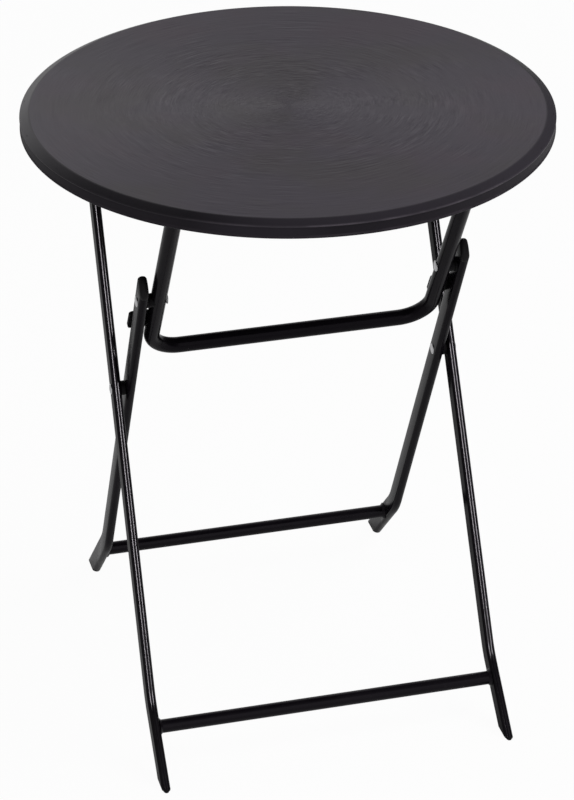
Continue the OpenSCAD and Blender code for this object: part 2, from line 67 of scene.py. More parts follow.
# Top in mm: its rim from the shoulder down, then the walls
top_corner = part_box("tabletop_panel")[1]
TOP_R = round(top_corner.x * 1000, 1)
TOP_H = round(top_corner.z * 1000, 2)
BAND_W = 10.4
LIP_Z = TOP_H - 4.8
LIP_H = 1.0
RIM_INSET = 0.8
SKIRT_Z = TOP_H - 19.2
BEAD_H = 2.0
SKIN_T = 3.5
SKIRT_T = 3.6
FACE_RINGS = (0, 22, 70, 130, 190, 240, 272)
SHOULDER_START = 280
UNDER_RING = 200
TOP_SEGMENTS = 360

# Where the finishes of the top meet in mm: inside the shoulder, below the face and below the lip
GRAIN_STOP = 0.3
GRAIN_DROP = 0.4
BAND_START = 2.0
BAND_DROP = 1.7

# Corner radii of the top's profile in mm
SHOULDER_R = 5.0
LIP_R = 0.7
LIP_FOOT_R = 0.4
BEAD_R = 0.5
SKIRT_R = 0.6
RECESS_R = 2.0
UNDER_R = 4.0

# Rings, ribs and bracket pads under the top in mm
HUB_R = 46
RING_COUNT = 4
RING_SEGMENTS = 180
RIB_COUNT = 20
RIB_HALF = 1.2
RIB_FOOT_HALF = 1.0
RIB_R = 0.5
RIB_SINK = 0.5
RIB_END_R = TOP_R - 3.0
RIB_ROOT_Z = TOP_H - SKIN_T + RIB_SINK
UNDER_Z = SKIRT_Z + 2.0
PAD_MARGIN = 2.4
PAD_CORNER_R = 1.0
PAD_EDGE_R = 0.6

# Rivets and washers in mm
HEAD_D = 12.5
HEAD_H = 1.7
LOW_HEAD_H = 1.3
SHAFT_D = 7.9
RIM_ROLL = 0.15
RIM_RISE = 0.12
RIM_SHARE = 0.28
DOME_IN_POWER = 0.9
DOME_UP_POWER = 0.85
WASHER_FACE_R = 7.9
WASHER_TUBE_R = 8.1
WASHER_EDGE_R = 0.6
WASHER_PLAY = 0.04
SADDLE_DEPTH = 3.0

# Flat-oval tube of the legs, and the caps of the inner ones, in mm. A cap's heights are measured
# up the leg from its foot, where each row of the foot has an inset and a height.
TUBE_HALF_W = 12.5
TUBE_HALF_T = 5.2
CAP_START = 18.0
CAP_FOOT_ROWS = ((0.25, 0.0), (0.06, 0.15), (0.0, 0.4))
CAP_BACK_R = 6.0
CAP_BACK_Z = 12.4
CAP_FRONT_Z = 6.6
CAP_CROWN = 5.0
CAP_LEAST = 0.9
CAP_SLOPE_POWER = 1.65

# Weld beads in mm
CROSSBAR_R = 8.0
WELD_W = 2.6
WELD_HOLLOW = 2.5
WELD_H = 2.7
WELD_PLAY = 0.02
RIPPLE_COUNT = 26
RIPPLE_H = 0.16
WAVE_COUNT = 7
WAVE_H = 0.1
RIPPLE_ALONG_SHARE = 0.3

# Light: how white the floor looks to the camera and in reflections, and the light that shapes get
# from all round. Places and sizes of the lamps are in metres, their angles in degrees.
FLOOR_SEEN = 0.96
FLOOR_MIRRORED = 0.2
ROOM_SOFT = 0.45
LAMP_AIM = (0, 0, 0.4)
STRIPS = {"strip_left": -39, "strip_right": 36}

# Camera fitted to the photograph: angles in radians, the rest in metres and pixels
AZIMUTH, ELEVATION, DISTANCE = 0.256855, 0.507191, 3.899272
AIM = (-0.0011335, 0.0002977, TOP_H / 1000 - 0.377582)
ROLL = -0.00069
FOCAL_PX = 3322.2
PHOTO_PX = 800
SENSOR = 36.0


def place_camera():
    """The camera of the photograph."""
    data = bpy.data.cameras.new("camera")
    camera = bpy.data.objects.new("camera", data)
    scene.collection.objects.link(camera)
    scene.camera = camera
    data.sensor_width = SENSOR
    data.lens = FOCAL_PX / PHOTO_PX * SENSOR
    data.clip_start = 0.05
    data.clip_end = 60
    flat = math.cos(ELEVATION)
    back = Vector((-math.sin(AZIMUTH) * flat, -math.cos(AZIMUTH) * flat, math.sin(ELEVATION)))
    camera.location = Vector(AIM) + back * DISTANCE
    camera.rotation_mode = "QUATERNION"
    camera.rotation_quaternion = (-back).to_track_quat("-Z", "Y") @ Quaternion((0, 0, 1), ROLL)


place_camera()


# Mesh tools
def make(name, verts, faces, mats, index=None):
    """A smooth mesh object from vertices in metres, with one material slot per entry of mats."""
    mesh = bpy.data.meshes.new(name)
    mesh.from_pydata([tuple(v) for v in verts], [], faces)
    for material in mats:
        mesh.materials.append(material)
    for i, polygon in enumerate(mesh.polygons):
        polygon.use_smooth = True
        polygon.material_index = index[i] if index else 0
    mesh.update()
    ob = bpy.data.objects.new(name, mesh)
    scene.collection.objects.link(ob)
    return ob


class Shape:
    """Collects vertices and faces of several parts of one piece."""

    def __init__(self):
        self.verts = []
        self.faces = []
        self.index = []

    def add(self, verts, faces, put, mat=0):
        """Adds a part. put places a vertex, mat is a material slot or a list of them."""
        start = len(self.verts)
        self.verts += [put(Vector(v)) for v in verts]
        self.faces += [tuple(start + i for i in face) for face in faces]
        self.index += mat if isinstance(mat, list) else [mat] * len(faces)

    def piece(self, name, mats):
        return make(name, self.verts, self.faces, mats, self.index)


def rounded(points):
    """A profile with arcs at its corners. Points are (a, b, radius) in mm."""
    turn_step, edge_gap, least_room, most_share = 0.3, 0.12, 0.25, 0.48
    out = []
    for i, (a, b, r) in enumerate(points):
        corner = Vector((a, b))
        if r <= 0 or i in (0, len(points) - 1):
            out.append(corner)
            continue
        before, after = Vector(points[i - 1][:2]) - corner, Vector(points[i + 1][:2]) - corner
        to_before, to_after = before.normalized(), after.normalized()
        half = math.acos(max(-1, min(1, to_before.dot(to_after)))) / 2
        shorter = min(before.length, after.length)
        cut = min(r / math.tan(half), shorter * most_share)
        r = cut * math.tan(half)
        centre = corner + (to_before + to_after).normalized() * (r / math.sin(half))
        start, end = corner + to_before * cut - centre, corner + to_after * cut - centre
        turn = math.atan2(start.x * end.y - start.y * end.x, start.dot(end))
        steps = max(2, int(abs(turn) / turn_step))
        # a point just beside each end of the arc keeps the flats beside it flat in the shading
        roomy = shorter / 2 - cut > least_room
        if roomy:
            out.append(corner + to_before * (cut + edge_gap))
        for k in range(steps + 1):
            c, s = math.cos(turn * k / steps), math.sin(turn * k / steps)
            out.append(centre + Vector((start.x * c - start.y * s, start.x * s + start.y * c)))
        if roomy:
            out.append(corner + to_after * (cut + edge_gap))
    return out


def lathe(points, segments):
    """Vertices and faces of a profile of (radius, height) turned about z. Radius 0 makes a fan."""
    verts, rows, faces = [], [], []
    for radius, height in points:
        if radius < 1e-9:
            rows.append([len(verts)] * segments)
            verts.append((0, 0, height))
            continue
        rows.append(list(range(len(verts), len(verts) + segments)))
        for k in range(segments):
            a = 2 * math.pi * k / segments
            verts.append((radius * math.cos(a), radius * math.sin(a), height))
    for low, high in zip(rows, rows[1:]):
        for k in range(segments):
            j = (k + 1) % segments
            face = [low[k], low[j], high[j], high[k]]
            faces.append(tuple(v for i, v in enumerate(face) if v != face[i - 1]))
    return verts, faces


def bridge(rows):
    """The vertices of closed rows of points, and the quads between each row and the next."""
    m = len(rows[0])
    verts = [v for row in rows for v in row]
    faces = [(i * m + j, (i + 1) * m + j, (i + 1) * m + (j + 1) % m, i * m + (j + 1) % m)
             for i in range(len(rows) - 1) for j in range(m)]
    return verts, faces


def face_outwards(ob, merge=0.0):
    """Turns all faces of a piece outwards, after joining vertices closer than merge, in metres."""
    bm = bmesh.new()
    bm.from_mesh(ob.data)
    if merge:
        bmesh.ops.remove_doubles(bm, verts=bm.verts, dist=merge)
        bmesh.ops.dissolve_degenerate(bm, edges=bm.edges, dist=merge / 4)
    bmesh.ops.recalc_face_normals(bm, faces=bm.faces)
    bm.to_mesh(ob.data)
    bm.free()


def mm(v):
    """A place in mm, given in metres."""
    return Vector(v) * 0.001


def along_x(side, x, y, z, out):
    """Puts a lathe made about z on one side, with its z turned outwards (1) or inwards (-1)."""
    way = side * out

    def put(v):
        return mm((side * x + way * v.z, y + v.x, z + way * v.y))
    return put


def right_reach(node):
    """The x reach in mm of a node's solids on the right-hand side."""
    xs = [v.co.x * 1000 for v in NODES[node].data.vertices if v.co.x > 0]
    return min(xs), max(xs)


# Material tools
class Tree:
    """Short calls for a node tree. An input is a number, a colour or a socket."""

    def __init__(self, node_tree):
        self.nt = node_tree

    def new(self, kind, **props):
        node = self.nt.nodes.new(kind)
        for key, value in props.items():
            setattr(node, key, value)
        return node

    def set(self, node, key, value):
        if isinstance(value, bpy.types.NodeSocket):
            self.nt.links.new(value, node.inputs[key])
        else:
            node.inputs[key].default_value = value

    def math(self, op, a, b=None, clamp=False):
        node = self.new("ShaderNodeMath", operation=op, use_clamp=clamp)
        self.set(node, 0, a)
        if b is not None:
            self.set(node, 1, b)
        return node.outputs[0]

    def vec(self, op, a, b=None, scale=None):
        node = self.new("ShaderNodeVectorMath", operation=op)
        self.set(node, 0, a)
        if b is not None:
            self.set(node, 1, b)
        if scale is not None:
            self.set(node, "Scale", scale)
        return node.outputs["Value" if op in ("LENGTH", "DOT_PRODUCT") else "Vector"]

    def xyz(self, vector):
        node = self.new("ShaderNodeSeparateXYZ")
        self.set(node, 0, vector)
        return node.outputs

    def combine(self, *values):
        node = self.new("ShaderNodeCombineXYZ")
        for i, value in enumerate(values):
            self.set(node, i, value)
        return node.outputs[0]

    def noise(self, place, scale, detail=3.0, rough=0.55):
        node = self.new("ShaderNodeTexNoise")
        self.set(node, "Vector", place)
        self.set(node, "Scale", scale)
        self.set(node, "Detail", detail)
        self.set(node, "Roughness", rough)
        return node.outputs["Fac"]

    def ramp(self, fac, stops):
        """A colour that follows fac through stops of (position, colour)."""
        node = self.new("ShaderNodeValToRGB")
        elements = node.color_ramp.elements
        while len(elements) < len(stops):
            elements.new(0.5)
        for element, (position, colour) in zip(elements, stops):
            element.position = position
            element.color = (*colour, 1)
        self.set(node, "Fac", fac)
        return node.outputs["Color"]

    def mix(self, fac, a, colour):
        """Colour a, with a plain colour mixed in by fac."""
        node = self.new("ShaderNodeMix", data_type="RGBA")
        self.set(node, "Factor", fac)
        socket = {s.name: s for s in node.inputs if s.type == "RGBA"}
        self.nt.links.new(a, socket["A"])
        socket["B"].default_value = (*colour, 1)
        return [s for s in node.outputs if s.type == "RGBA"][0]

    def remap(self, value, source, target, smooth=False):
        """Takes a value from one range to another and holds it at the ends."""
        kind = "SMOOTHSTEP" if smooth else "LINEAR"
        node = self.new("ShaderNodeMapRange", interpolation_type=kind)
        for i, v in enumerate((value, *source, *target)):
            self.set(node, i, v)
        return node.outputs[0]

    def bump(self, height, strength, distance, normal=None):
        node = self.new("ShaderNodeBump")
        self.set(node, "Height", height)
        self.set(node, "Strength", strength)
        self.set(node, "Distance", distance)
        if normal is not None:
            self.set(node, "Normal", normal)
        return node.outputs["Normal"]


class Material(Tree):
    """The node tree of a new material."""

    def __init__(self, name):
        self.mat = bpy.data.materials.new(name)
        self.mat.use_nodes = True
        super().__init__(self.mat.node_tree)
        self.bsdf = self.nt.nodes["Principled BSDF"]
        self.coord = self.new("ShaderNodeTexCoord").outputs["Object"]

    def finish(self, **inputs):
        """Sets the shader's inputs, with an underscore for each space, and gives the material."""
        for key, value in inputs.items():
            self.set(self.bsdf, key.replace("_", " "), value)
        return self.mat


# Materials of the top
COOL_TINT = (0.96, 0.88, 1.0, 1.0)

# Painted light and shade round the rim, darker at the left front and lighter at the right front and the
# front: direction, limits of the cosine between which it sets in, share, colour
BAND_PAINTED_LIGHT_AND_SHADE = [
    ((-0.8, -0.6, 0.0), (0.55, 0.9), 0.5, (0.005, 0.0045, 0.0056)),
    ((0.8, -0.6, 0.0), (0.75, 0.97), 0.7, (0.032, 0.028, 0.036)),
    ((-0.05, -1.0, 0.0), (0.85, 0.97), 0.8, (0.0245, 0.0213, 0.0275)),
]
# painted light at the front of the skirt
EDGE_PAINTED_LIGHT = [((-0.35, -0.94, 0.0), (0.97, 0.998), 0.8, (0.03, 0.0262, 0.034))]


def polar(n):
    """Height, distance from the middle and direction from the middle of a point of the top."""
    x, y, z = n.xyz(n.coord)
    flat = n.combine(x, y, 0.0)
    return z, n.vec("LENGTH", flat), n.vec("NORMALIZE", flat)


def rim_colour(n, fine, patch, low, high):
    """Moulded plastic between two colours, by fine grain and by soft patches."""
    tone = n.math("ADD", n.math("MULTIPLY", fine, 0.5), n.math("MULTIPLY", patch, 0.5))
    return n.ramp(tone, [(0.3, low), (0.7, high)])


def painted_rim_highlight(n, z, r, way, middle, reach):
    """Painted highlight along an edge that runs round at a height, in broken stretches."""
    away = n.math("ABSOLUTE", n.math("SUBTRACT", n.math("MULTIPLY", z, 1000), middle))
    near = n.remap(away, (reach * 0.35, reach), (1.0, 0.0))
    outside = n.remap(r, ((TOP_R - 3.0) / 1000, (TOP_R - 1.5) / 1000), (0.0, 1.0))
    broken = n.remap(n.noise(n.vec("SCALE", way, scale=2.3), 2.6, 3, 0.6), (0.4, 0.6), (0.35, 1.0))
    return n.math("MULTIPLY", n.math("MULTIPLY", near, outside), broken)


def paint_light_round_rim(n, way, col, painted_tones):
    """Painted light and shade: a colour that changes round the rim with the way the rim faces."""
    for direction, limits, share, colour in painted_tones:
        facing = n.remap(n.vec("DOT_PRODUCT", way, direction), limits, (0.0, share))
        col = n.mix(facing, col, colour)
    return col


def band_material():
    """Sloping band and lip: smooth plastic, with a painted highlight on the lip towards the front and
    the back, and painted light and shade round the rim.
    """
    n = Material("hdpe_top_band")
    z, r, way = polar(n)
    fine = n.noise(n.coord, 1400, 2)
    patch = n.noise(n.coord, 8, 2, 0.5)
    col = rim_colour(n, fine, patch, (0.013, 0.0112, 0.0147), (0.0192, 0.017, 0.021))
    # painted highlight along the lip
    highlight_mask = painted_rim_highlight(n, z, r, way, LIP_Z - 0.5, 1.3)
    # the painted lip highlight is kept to the front and the back
    ends = n.math("ABSOLUTE", n.vec("DOT_PRODUCT", way, (0.25, -0.97, 0.0)))
    highlight_mask = n.math("MULTIPLY", highlight_mask, n.remap(ends, (0.6, 0.85), (0.1, 1.0)))
    # painted light and shade round the rim, with the painted lip highlight over it
    col = n.mix(highlight_mask, paint_light_round_rim(n, way, col, BAND_PAINTED_LIGHT_AND_SHADE), (0.075, 0.065, 0.078))
    return n.finish(Base_Color=col, Roughness=n.remap(patch, (0.3, 0.7), (0.36, 0.44)),
                   Normal=n.bump(fine, 0.3, 0.00005), Specular_IOR_Level=0.28,
                   Specular_Tint=COOL_TINT)


def edge_material():
    """Skirt, bead and underside: duller than the band, with a painted highlight on the shoulder of the
    bead and painted light at the front.
    """
    n = Material("hdpe_top_edge")
    z, r, way = polar(n)
    fine = n.noise(n.coord, 1400, 2)
    patch = n.noise(n.coord, 8, 2, 0.5)
    col = rim_colour(n, fine, patch, (0.0145, 0.0124, 0.0162), (0.021, 0.0184, 0.0228))
    # painted highlight along the shoulder of the bead
    highlight_mask = painted_rim_highlight(n, z, r, way, SKIRT_Z + 2.5, 1.7)
    # painted light at the front, with the painted bead highlight over it
    col = n.mix(highlight_mask, paint_light_round_rim(n, way, col, EDGE_PAINTED_LIGHT), (0.036, 0.031, 0.038))
    return n.finish(Base_Color=col, Roughness=0.5, Normal=n.bump(fine, 0.3, 0.00005),
                   Specular_IOR_Level=0.1, Specular_Tint=COOL_TINT)


def face_material():
    """Face of the top: a fine grain that runs round the middle in broken streaks."""
    n = Material("hdpe_top_grain")
    _, r, way = polar(n)

    def streaks(turns, pitch, detail):
        x, y, _ = n.xyz(n.vec("SCALE", way, scale=turns))
        grain = n.noise(n.combine(x, y, n.math("MULTIPLY", r, pitch)), 1.0, detail, 0.5)
        return n.math("SUBTRACT", grain, 0.5)

    def shown(scale, low, high):
        return n.remap(n.noise(n.coord, scale, 3, 0.6), (0.4, 0.62), (low, high))

    fine = n.noise(n.coord, 1400, 2)
    line = n.math("MULTIPLY", streaks(5.0, 185, 2), shown(19, 0.05, 1.3))
    hair = n.math("MULTIPLY", streaks(9.0, 430, 1), shown(27, 0.2, 1.2))
    arc = n.math("MULTIPLY", streaks(1.3, 90, 2), 0.2)
    tone = n.math("ADD", n.math("MULTIPLY", line, 0.8), n.math("MULTIPLY", hair, 0.5))
    tone = n.math("MULTIPLY", n.math("ADD", tone, arc), n.remap(r, (0.15, 0.25), (1.0, 0.4)))
    tone = n.math("ADD", tone, 0.5)
    col = n.ramp(tone, [(0.3, (0.0215, 0.0152, 0.027)), (0.5, (0.0262, 0.019, 0.0322)),
                        (0.7, (0.0325, 0.0245, 0.039))])
    plum = n.remap(n.noise(n.coord, 9, 3, 0.55), (0.5, 0.66), (0.0, 0.75))
    col = n.mix(plum, col, (0.0305, 0.0185, 0.032))
    elsewhere = n.vec("ADD", n.coord, (3.1, 1.7, 0.4))
    moss = n.remap(n.noise(elsewhere, 7, 3, 0.55), (0.48, 0.64), (0.0, 0.8))
    col = n.mix(moss, col, (0.0245, 0.0185, 0.0245))
    bump = n.bump(fine, 0.2, 0.00005, n.bump(tone, 0.6, 0.0012))
    around = n.new("ShaderNodeTangent", direction_type="RADIAL", axis="Z").outputs[0]
    return n.finish(Base_Color=col, Roughness=n.remap(tone, (0.3, 0.7), (0.54, 0.46)),
                   Normal=bump, Tangent=around, Specular_IOR_Level=0.53, Anisotropic=0.39,
                   Anisotropic_Rotation=0.25)


# Materials of the frames and fittings
def crown_height(n):
    """1 along the middle of an inner leg's flats and 0 at their edges, as they bulge when rolled."""
    _, y, z = n.xyz(n.coord)
    over = n.math("MULTIPLY", n.math("SUBTRACT", y, SCISSOR_Y / 1000), math.cos(LEAN))
    up = n.math("MULTIPLY", n.math("SUBTRACT", z, SCISSOR_Z / 1000), math.sin(LEAN))
    across = n.math("ABSOLUTE", n.math("MULTIPLY", n.math("ADD", over, up), 1000 / TUBE_HALF_W))
    across = n.math("MINIMUM", across, 1.0)
    return n.math("SUBTRACT", 1.0, n.math("MULTIPLY", across, across))


def tube_material(name, rough, shine, flat_shine=None, crown=0.0, tint=COOL_TINT, peel_depth=0.16):
    """Black powder coat. With flat_shine, the rolled ends of a flat tube are glossier than its flats."""
    n = Material(name)
    peel = n.noise(n.coord, 620, 2, 0.5)
    grit = n.noise(n.coord, 2600, 2, 0.6)
    cloud = n.noise(n.coord, 30, 3, 0.6)
    col = n.ramp(cloud, [(0.3, (0.004, 0.0031, 0.0047)), (0.7, (0.0062, 0.005, 0.007))])
    low = n.remap(n.xyz(n.coord)[2], (0.0, 0.12), (1.0, 0.0))
    spot = n.remap(n.noise(n.coord, 240, 4, 0.7), (0.6, 0.72), (0.0, 0.4))
    col = n.mix(n.math("MULTIPLY", spot, low), col, (0.022, 0.0205, 0.021))
    if flat_shine is not None:
        sideways = n.xyz(n.new("ShaderNodeTexCoord").outputs["Normal"])[0]
        shine = n.remap(n.math("ABSOLUTE", sideways), (0.72, 0.93), (shine, flat_shine))
    rough = n.remap(cloud, (0.3, 0.7), (rough, rough + 0.05))
    bump = n.bump(grit, peel_depth * 0.6, 0.00002, n.bump(peel, peel_depth, 0.00004))
    if crown:
        bump = n.bump(crown_height(n), 1.0, crown, bump)
    return n.finish(Base_Color=col, Roughness=rough, Normal=bump, Specular_IOR_Level=shine,
                   Specular_Tint=tint)


def plastic_material(name, shine):
    """Matte black moulded plastic of the plugs, caps, spacers and stops."""
    n = Material(name)
    fine = n.noise(n.coord, 1900, 3, 0.6)
    cloud = n.noise(n.coord, 60, 3, 0.6)
    col = n.ramp(cloud, [(0.3, (0.0052, 0.0046, 0.0056)), (0.7, (0.009, 0.0082, 0.0095))])
    return n.finish(Base_Color=col, Roughness=n.remap(cloud, (0.3, 0.7), (0.46, 0.58)),
                   Normal=n.bump(fine, 0.35, 0.00004), Specular_IOR_Level=shine)


def zinc_material():
    """Bright plated steel of the rivets and screws, a little dulled in patches."""
    n = Material("zinc_steel")
    cloud = n.noise(n.coord, 420, 3, 0.6)
    fine = n.noise(n.coord, 3200, 2, 0.6)
    col = n.ramp(cloud, [(0.3, (0.55, 0.55, 0.56)), (0.7, (0.74, 0.74, 0.75))])
    return n.finish(Base_Color=col, Metallic=1.0, Roughness=n.remap(cloud, (0.3, 0.7), (0.24, 0.38)),
                   Normal=n.bump(fine, 0.2, 0.00003))


TOP_FACE = face_material()
TOP_BAND = band_material()
TOP_EDGE = edge_material()
TUBE = tube_material("black_powder_coat", rough=0.17, shine=0.13)
TUBE_DULL = tube_material("black_powder_coat_dull", rough=0.19, shine=0.075)
TUBE_INNER = tube_material("black_powder_coat_inner", rough=0.21, shine=0.06, crown=0.001)
TUBE_OUTER = tube_material("black_powder_coat_legs", rough=0.12, shine=0.12, flat_shine=0.012,
                           tint=(0.98, 0.93, 1.0, 1.0), peel_depth=0.05)
PLASTIC = plastic_material("black_plastic", shine=0.17)
PLASTIC_DULL = plastic_material("black_plastic_dull", shine=0.06)
ZINC = zinc_material()

# Slots of the CAD nodes: the usual material, the width of the soft edges in metres, the nodes
SLOTS = {
    "black_powder_coat": (TUBE, 0.00025, [
        "rear_bracket_left", "rear_bracket_right", "front_bracket_left", "front_bracket_right",
        "outer_leg_left", "outer_leg_right", "outer_crossbar", "inner_leg_left",
        "inner_leg_right", "inner_crossbar", "u_bar", "front_hinge_rivets"]),
    "black_plastic": (PLASTIC, 0.0005, [
        "outer_foot_plug_left", "outer_foot_plug_right", "outer_end_plugs", "scissor_spacers",
        "inner_foot_plug_left", "inner_foot_plug_right", "inner_top_cap_left",
        "inner_top_cap_right", "brace_spacers", "stop_block_left", "stop_block_right",
        "u_bar_end_plugs"]),
    "zinc_steel": (ZINC, 0.0002, [
        "bracket_screws", "rear_hinge_rivets", "scissor_rivets", "brace_rivets_outer",
        "brace_rivets_inner", "stop_screws"]),
    "hdpe_top": (TOP_EDGE, 0.0004, ["tabletop_panel"]),
}
# Nodes whose finish differs a little from the rest of their slot
OWN_MATERIAL = {
    "outer_leg_left": TUBE_OUTER, "outer_leg_right": TUBE_OUTER,
    "inner_leg_left": TUBE_INNER, "inner_leg_right": TUBE_INNER, "u_bar": TUBE_DULL,
    "brace_spacers": PLASTIC_DULL, "scissor_spacers": PLASTIC_DULL,
    "stop_block_left": PLASTIC_DULL, "stop_block_right": PLASTIC_DULL,
}
SHARP_ANGLE = math.radians(32)
MERGE_REACH = 0.000004


def dress(ob, slot, material, edge):
    """Gives a CAD node its finish and soft edges, and leaves its vertices as they are."""
    ob.data.materials.clear()
    ob.data.materials.append(material)
    if "custom_normal" in ob.data.attributes:
        ob.data.attributes.remove(ob.data.attributes["custom_normal"])
    for polygon in ob.data.polygons:
        polygon.material_index = 0
        polygon.use_smooth = True
    weld = ob.modifiers.new("weld", "WELD")
    weld.merge_threshold = MERGE_REACH
    bevel = ob.modifiers.new("edge", "BEVEL")
    bevel.width = edge
    bevel.segments = 2
    bevel.limit_method = "ANGLE"
    bevel.angle_limit = SHARP_ANGLE
    bevel.harden_normals = False
    normals = ob.modifiers.new("normals", "WEIGHTED_NORMAL")
    normals.keep_sharp = True


for slot, (usual, edge, names) in SLOTS.items():
    for name in names:
        dress(NODES[name], slot, OWN_MATERIAL.get(name, usual), edge)


# The top
FACE, BAND, EDGE = range(3)


def top_finish(corners):
    """The material slot of a face of the moulding: the face, the band with the lip, or the rest."""
    shoulder = TOP_R - BAND_W
    reach = max(math.hypot(x, y) for x, y, _ in corners)
    low = min(z for _, _, z in corners)
    if reach < shoulder - GRAIN_STOP and low > TOP_H - GRAIN_DROP:
        return FACE
    if reach > shoulder - BAND_START and low > LIP_Z - BAND_DROP:
        return BAND
    return EDGE


def top_profile():
    """The moulding's section from the middle of its face, round the rim, to the middle of its back."""
    foot_r, wall_r = TOP_R - RIM_INSET, TOP_R - RIM_INSET - SKIRT_T
    rim = rounded([
        (SHOULDER_START, TOP_H, 0), (TOP_R - BAND_W, TOP_H, SHOULDER_R), (TOP_R, LIP_Z, LIP_R),
        (TOP_R, LIP_Z - LIP_H, LIP_FOOT_R), (foot_r, LIP_Z - 2 * LIP_H, BEAD_R),
        (foot_r, SKIRT_Z + 1.5 * BEAD_H, SKIRT_R), (TOP_R, SKIRT_Z + BEAD_H, BEAD_R),
        (TOP_R, SKIRT_Z + BEAD_H / 2, BEAD_R), (foot_r, SKIRT_Z, BEAD_R),
        (wall_r, SKIRT_Z, SKIRT_R), (wall_r, LIP_Z - SKIN_T, RECESS_R),
        (TOP_R - BAND_W - SKIN_T, TOP_H - SKIN_T, UNDER_R), (UNDER_RING, TOP_H - SKIN_T, 0),
        (0, TOP_H - SKIN_T, 0)])
    return [Vector((r, TOP_H)) for r in FACE_RINGS] + rim


def rib_section(middle):
    """Section of a ring or rib, drawn in a little towards its free edge."""
    return rounded([
        (middle - RIB_HALF, RIB_ROOT_Z, 0), (middle - RIB_FOOT_HALF, UNDER_Z, RIB_R),
        (middle + RIB_FOOT_HALF, UNDER_Z, RIB_R), (middle + RIB_HALF, RIB_ROOT_Z, 0)])


def rib(angle):
    """A straight rib from the hub ring to the skirt."""
    c, s = math.cos(angle), math.sin(angle)
    section = rib_section(0)
    k = len(section)
    verts = [(r * c - p.x * s, r * s + p.x * c, p.y) for r in (HUB_R, RIB_END_R) for p in section]
    return verts, [(j, j + 1, j + 1 + k, j + k) for j in range(k - 1)]


def pad(x0, x1, y0, y1):
    """A block under the face with rounded upright corners and a rounded lower edge, open above."""
    r, edge, near = PAD_CORNER_R, PAD_EDGE_R, PAD_EDGE_R * 0.3
    corners = ((x1 - r, y1 - r), (x0 + r, y1 - r), (x0 + r, y0 + r), (x1 - r, y0 + r))

    def row(inset, z):
        out = []
        for quarter, (x, y) in enumerate(corners):
            for k in range(5):
                a = math.radians(90 * quarter + 22.5 * k)
                out.append((x + (r - inset) * math.cos(a), y + (r - inset) * math.sin(a), z))
        return out

    rows = [row(0, RIB_ROOT_Z), row(0, UNDER_Z + edge), row(near, UNDER_Z + near), row(edge, UNDER_Z)]
    verts, faces = bridge(rows)
    m = len(rows[0])
    faces.append(tuple(3 * m + j for j in reversed(range(m))))
    return verts, faces


def tabletop():
    """The round top with the rings, ribs and bracket pads of its underside."""
    s = Shape()
    verts, faces = lathe(top_profile(), TOP_SEGMENTS)
    s.add(verts, faces, mm, [top_finish([verts[i] for i in face]) for face in faces])
    for i in range(RING_COUNT):
        middle = HUB_R + i * (TOP_R - SKIRT_T - HUB_R) / RING_COUNT
        verts, faces = lathe(rib_section(middle), RING_SEGMENTS)
        s.add(verts, [tuple(reversed(face)) for face in faces], mm, EDGE)
    for i in range(RIB_COUNT):
        s.add(*rib(2 * math.pi * i / RIB_COUNT), mm, EDGE)
    for node in ("rear_bracket_left", "rear_bracket_right", "front_bracket_left", "front_bracket_right"):
        lo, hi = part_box(node)
        x0, x1 = lo.x * 1000 - PAD_MARGIN, hi.x * 1000 + PAD_MARGIN
        s.add(*pad(x0, x1, lo.y * 1000, hi.y * 1000), mm, EDGE)
    ob = s.piece("top_panel", [TOP_FACE, TOP_BAND, TOP_EDGE])
    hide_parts("tabletop_panel")
    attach(ob, "tabletop")


tabletop()


# Rivets
def dome(height):
    """Profile of a rivet head from its seat up: a rolled rim and a low dome."""
    r, steps = HEAD_D / 2, 8
    points = [(r - RIM_ROLL, 0), (r, RIM_RISE), (r, height * RIM_SHARE)]
    for k in range(1, steps):
        a = math.pi / 2 * k / steps
        rise = RIM_SHARE + (1 - RIM_SHARE) * math.sin(a) ** DOME_UP_POWER
        points.append((r * math.cos(a) ** DOME_IN_POWER, height * rise))
    return points + [(0, height)]


def rivets(node, name, body, y, z, outer=None, inner=None, slot="zinc_steel"):
    """A node's pair of rivets, with a domed head of a given height outside, inside or both."""
    x0, x1 = right_reach(node)
    start, end = x0 + (inner or 0), x1 - (outer or 0)
    s = Shape()
    for side in (1, -1):
        s.add(*lathe([(SHAFT_D / 2, start), (SHAFT_D / 2, end)], 32), along_x(side, 0, y, z, 1))
        if outer:
            s.add(*lathe(dome(outer), 40), along_x(side, end, y, z, 1))
        if inner:
            s.add(*lathe(dome(inner), 40), along_x(side, start, y, z, -1))
    ob = s.piece(name, [SLOTS[slot][0]])
    face_outwards(ob)
    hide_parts(node)
    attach(ob, body)


rivets("scissor_rivets", "scissor_rivet_domes", "outer_frame", SCISSOR_Y, SCISSOR_Z,
       outer=HEAD_H, inner=LOW_HEAD_H)
rivets("rear_hinge_rivets", "rear_rivet_domes", "tabletop", REAR_Y, REAR_Z,
       outer=HEAD_H, inner=LOW_HEAD_H)
rivets("front_hinge_rivets", "front_rivet_domes", "tabletop", FRONT_Y, FRONT_Z,
       outer=LOW_HEAD_H, inner=HEAD_H, slot="black_powder_coat")
rivets("brace_rivets_outer", "brace_rivet_domes", "inner_frame", BRACE_Y, BRACE_Z, outer=HEAD_H)
rivets("brace_rivets_inner", "brace_rivet_inner_domes", "brace", BRACE_Y, BRACE_Z, inner=HEAD_H)


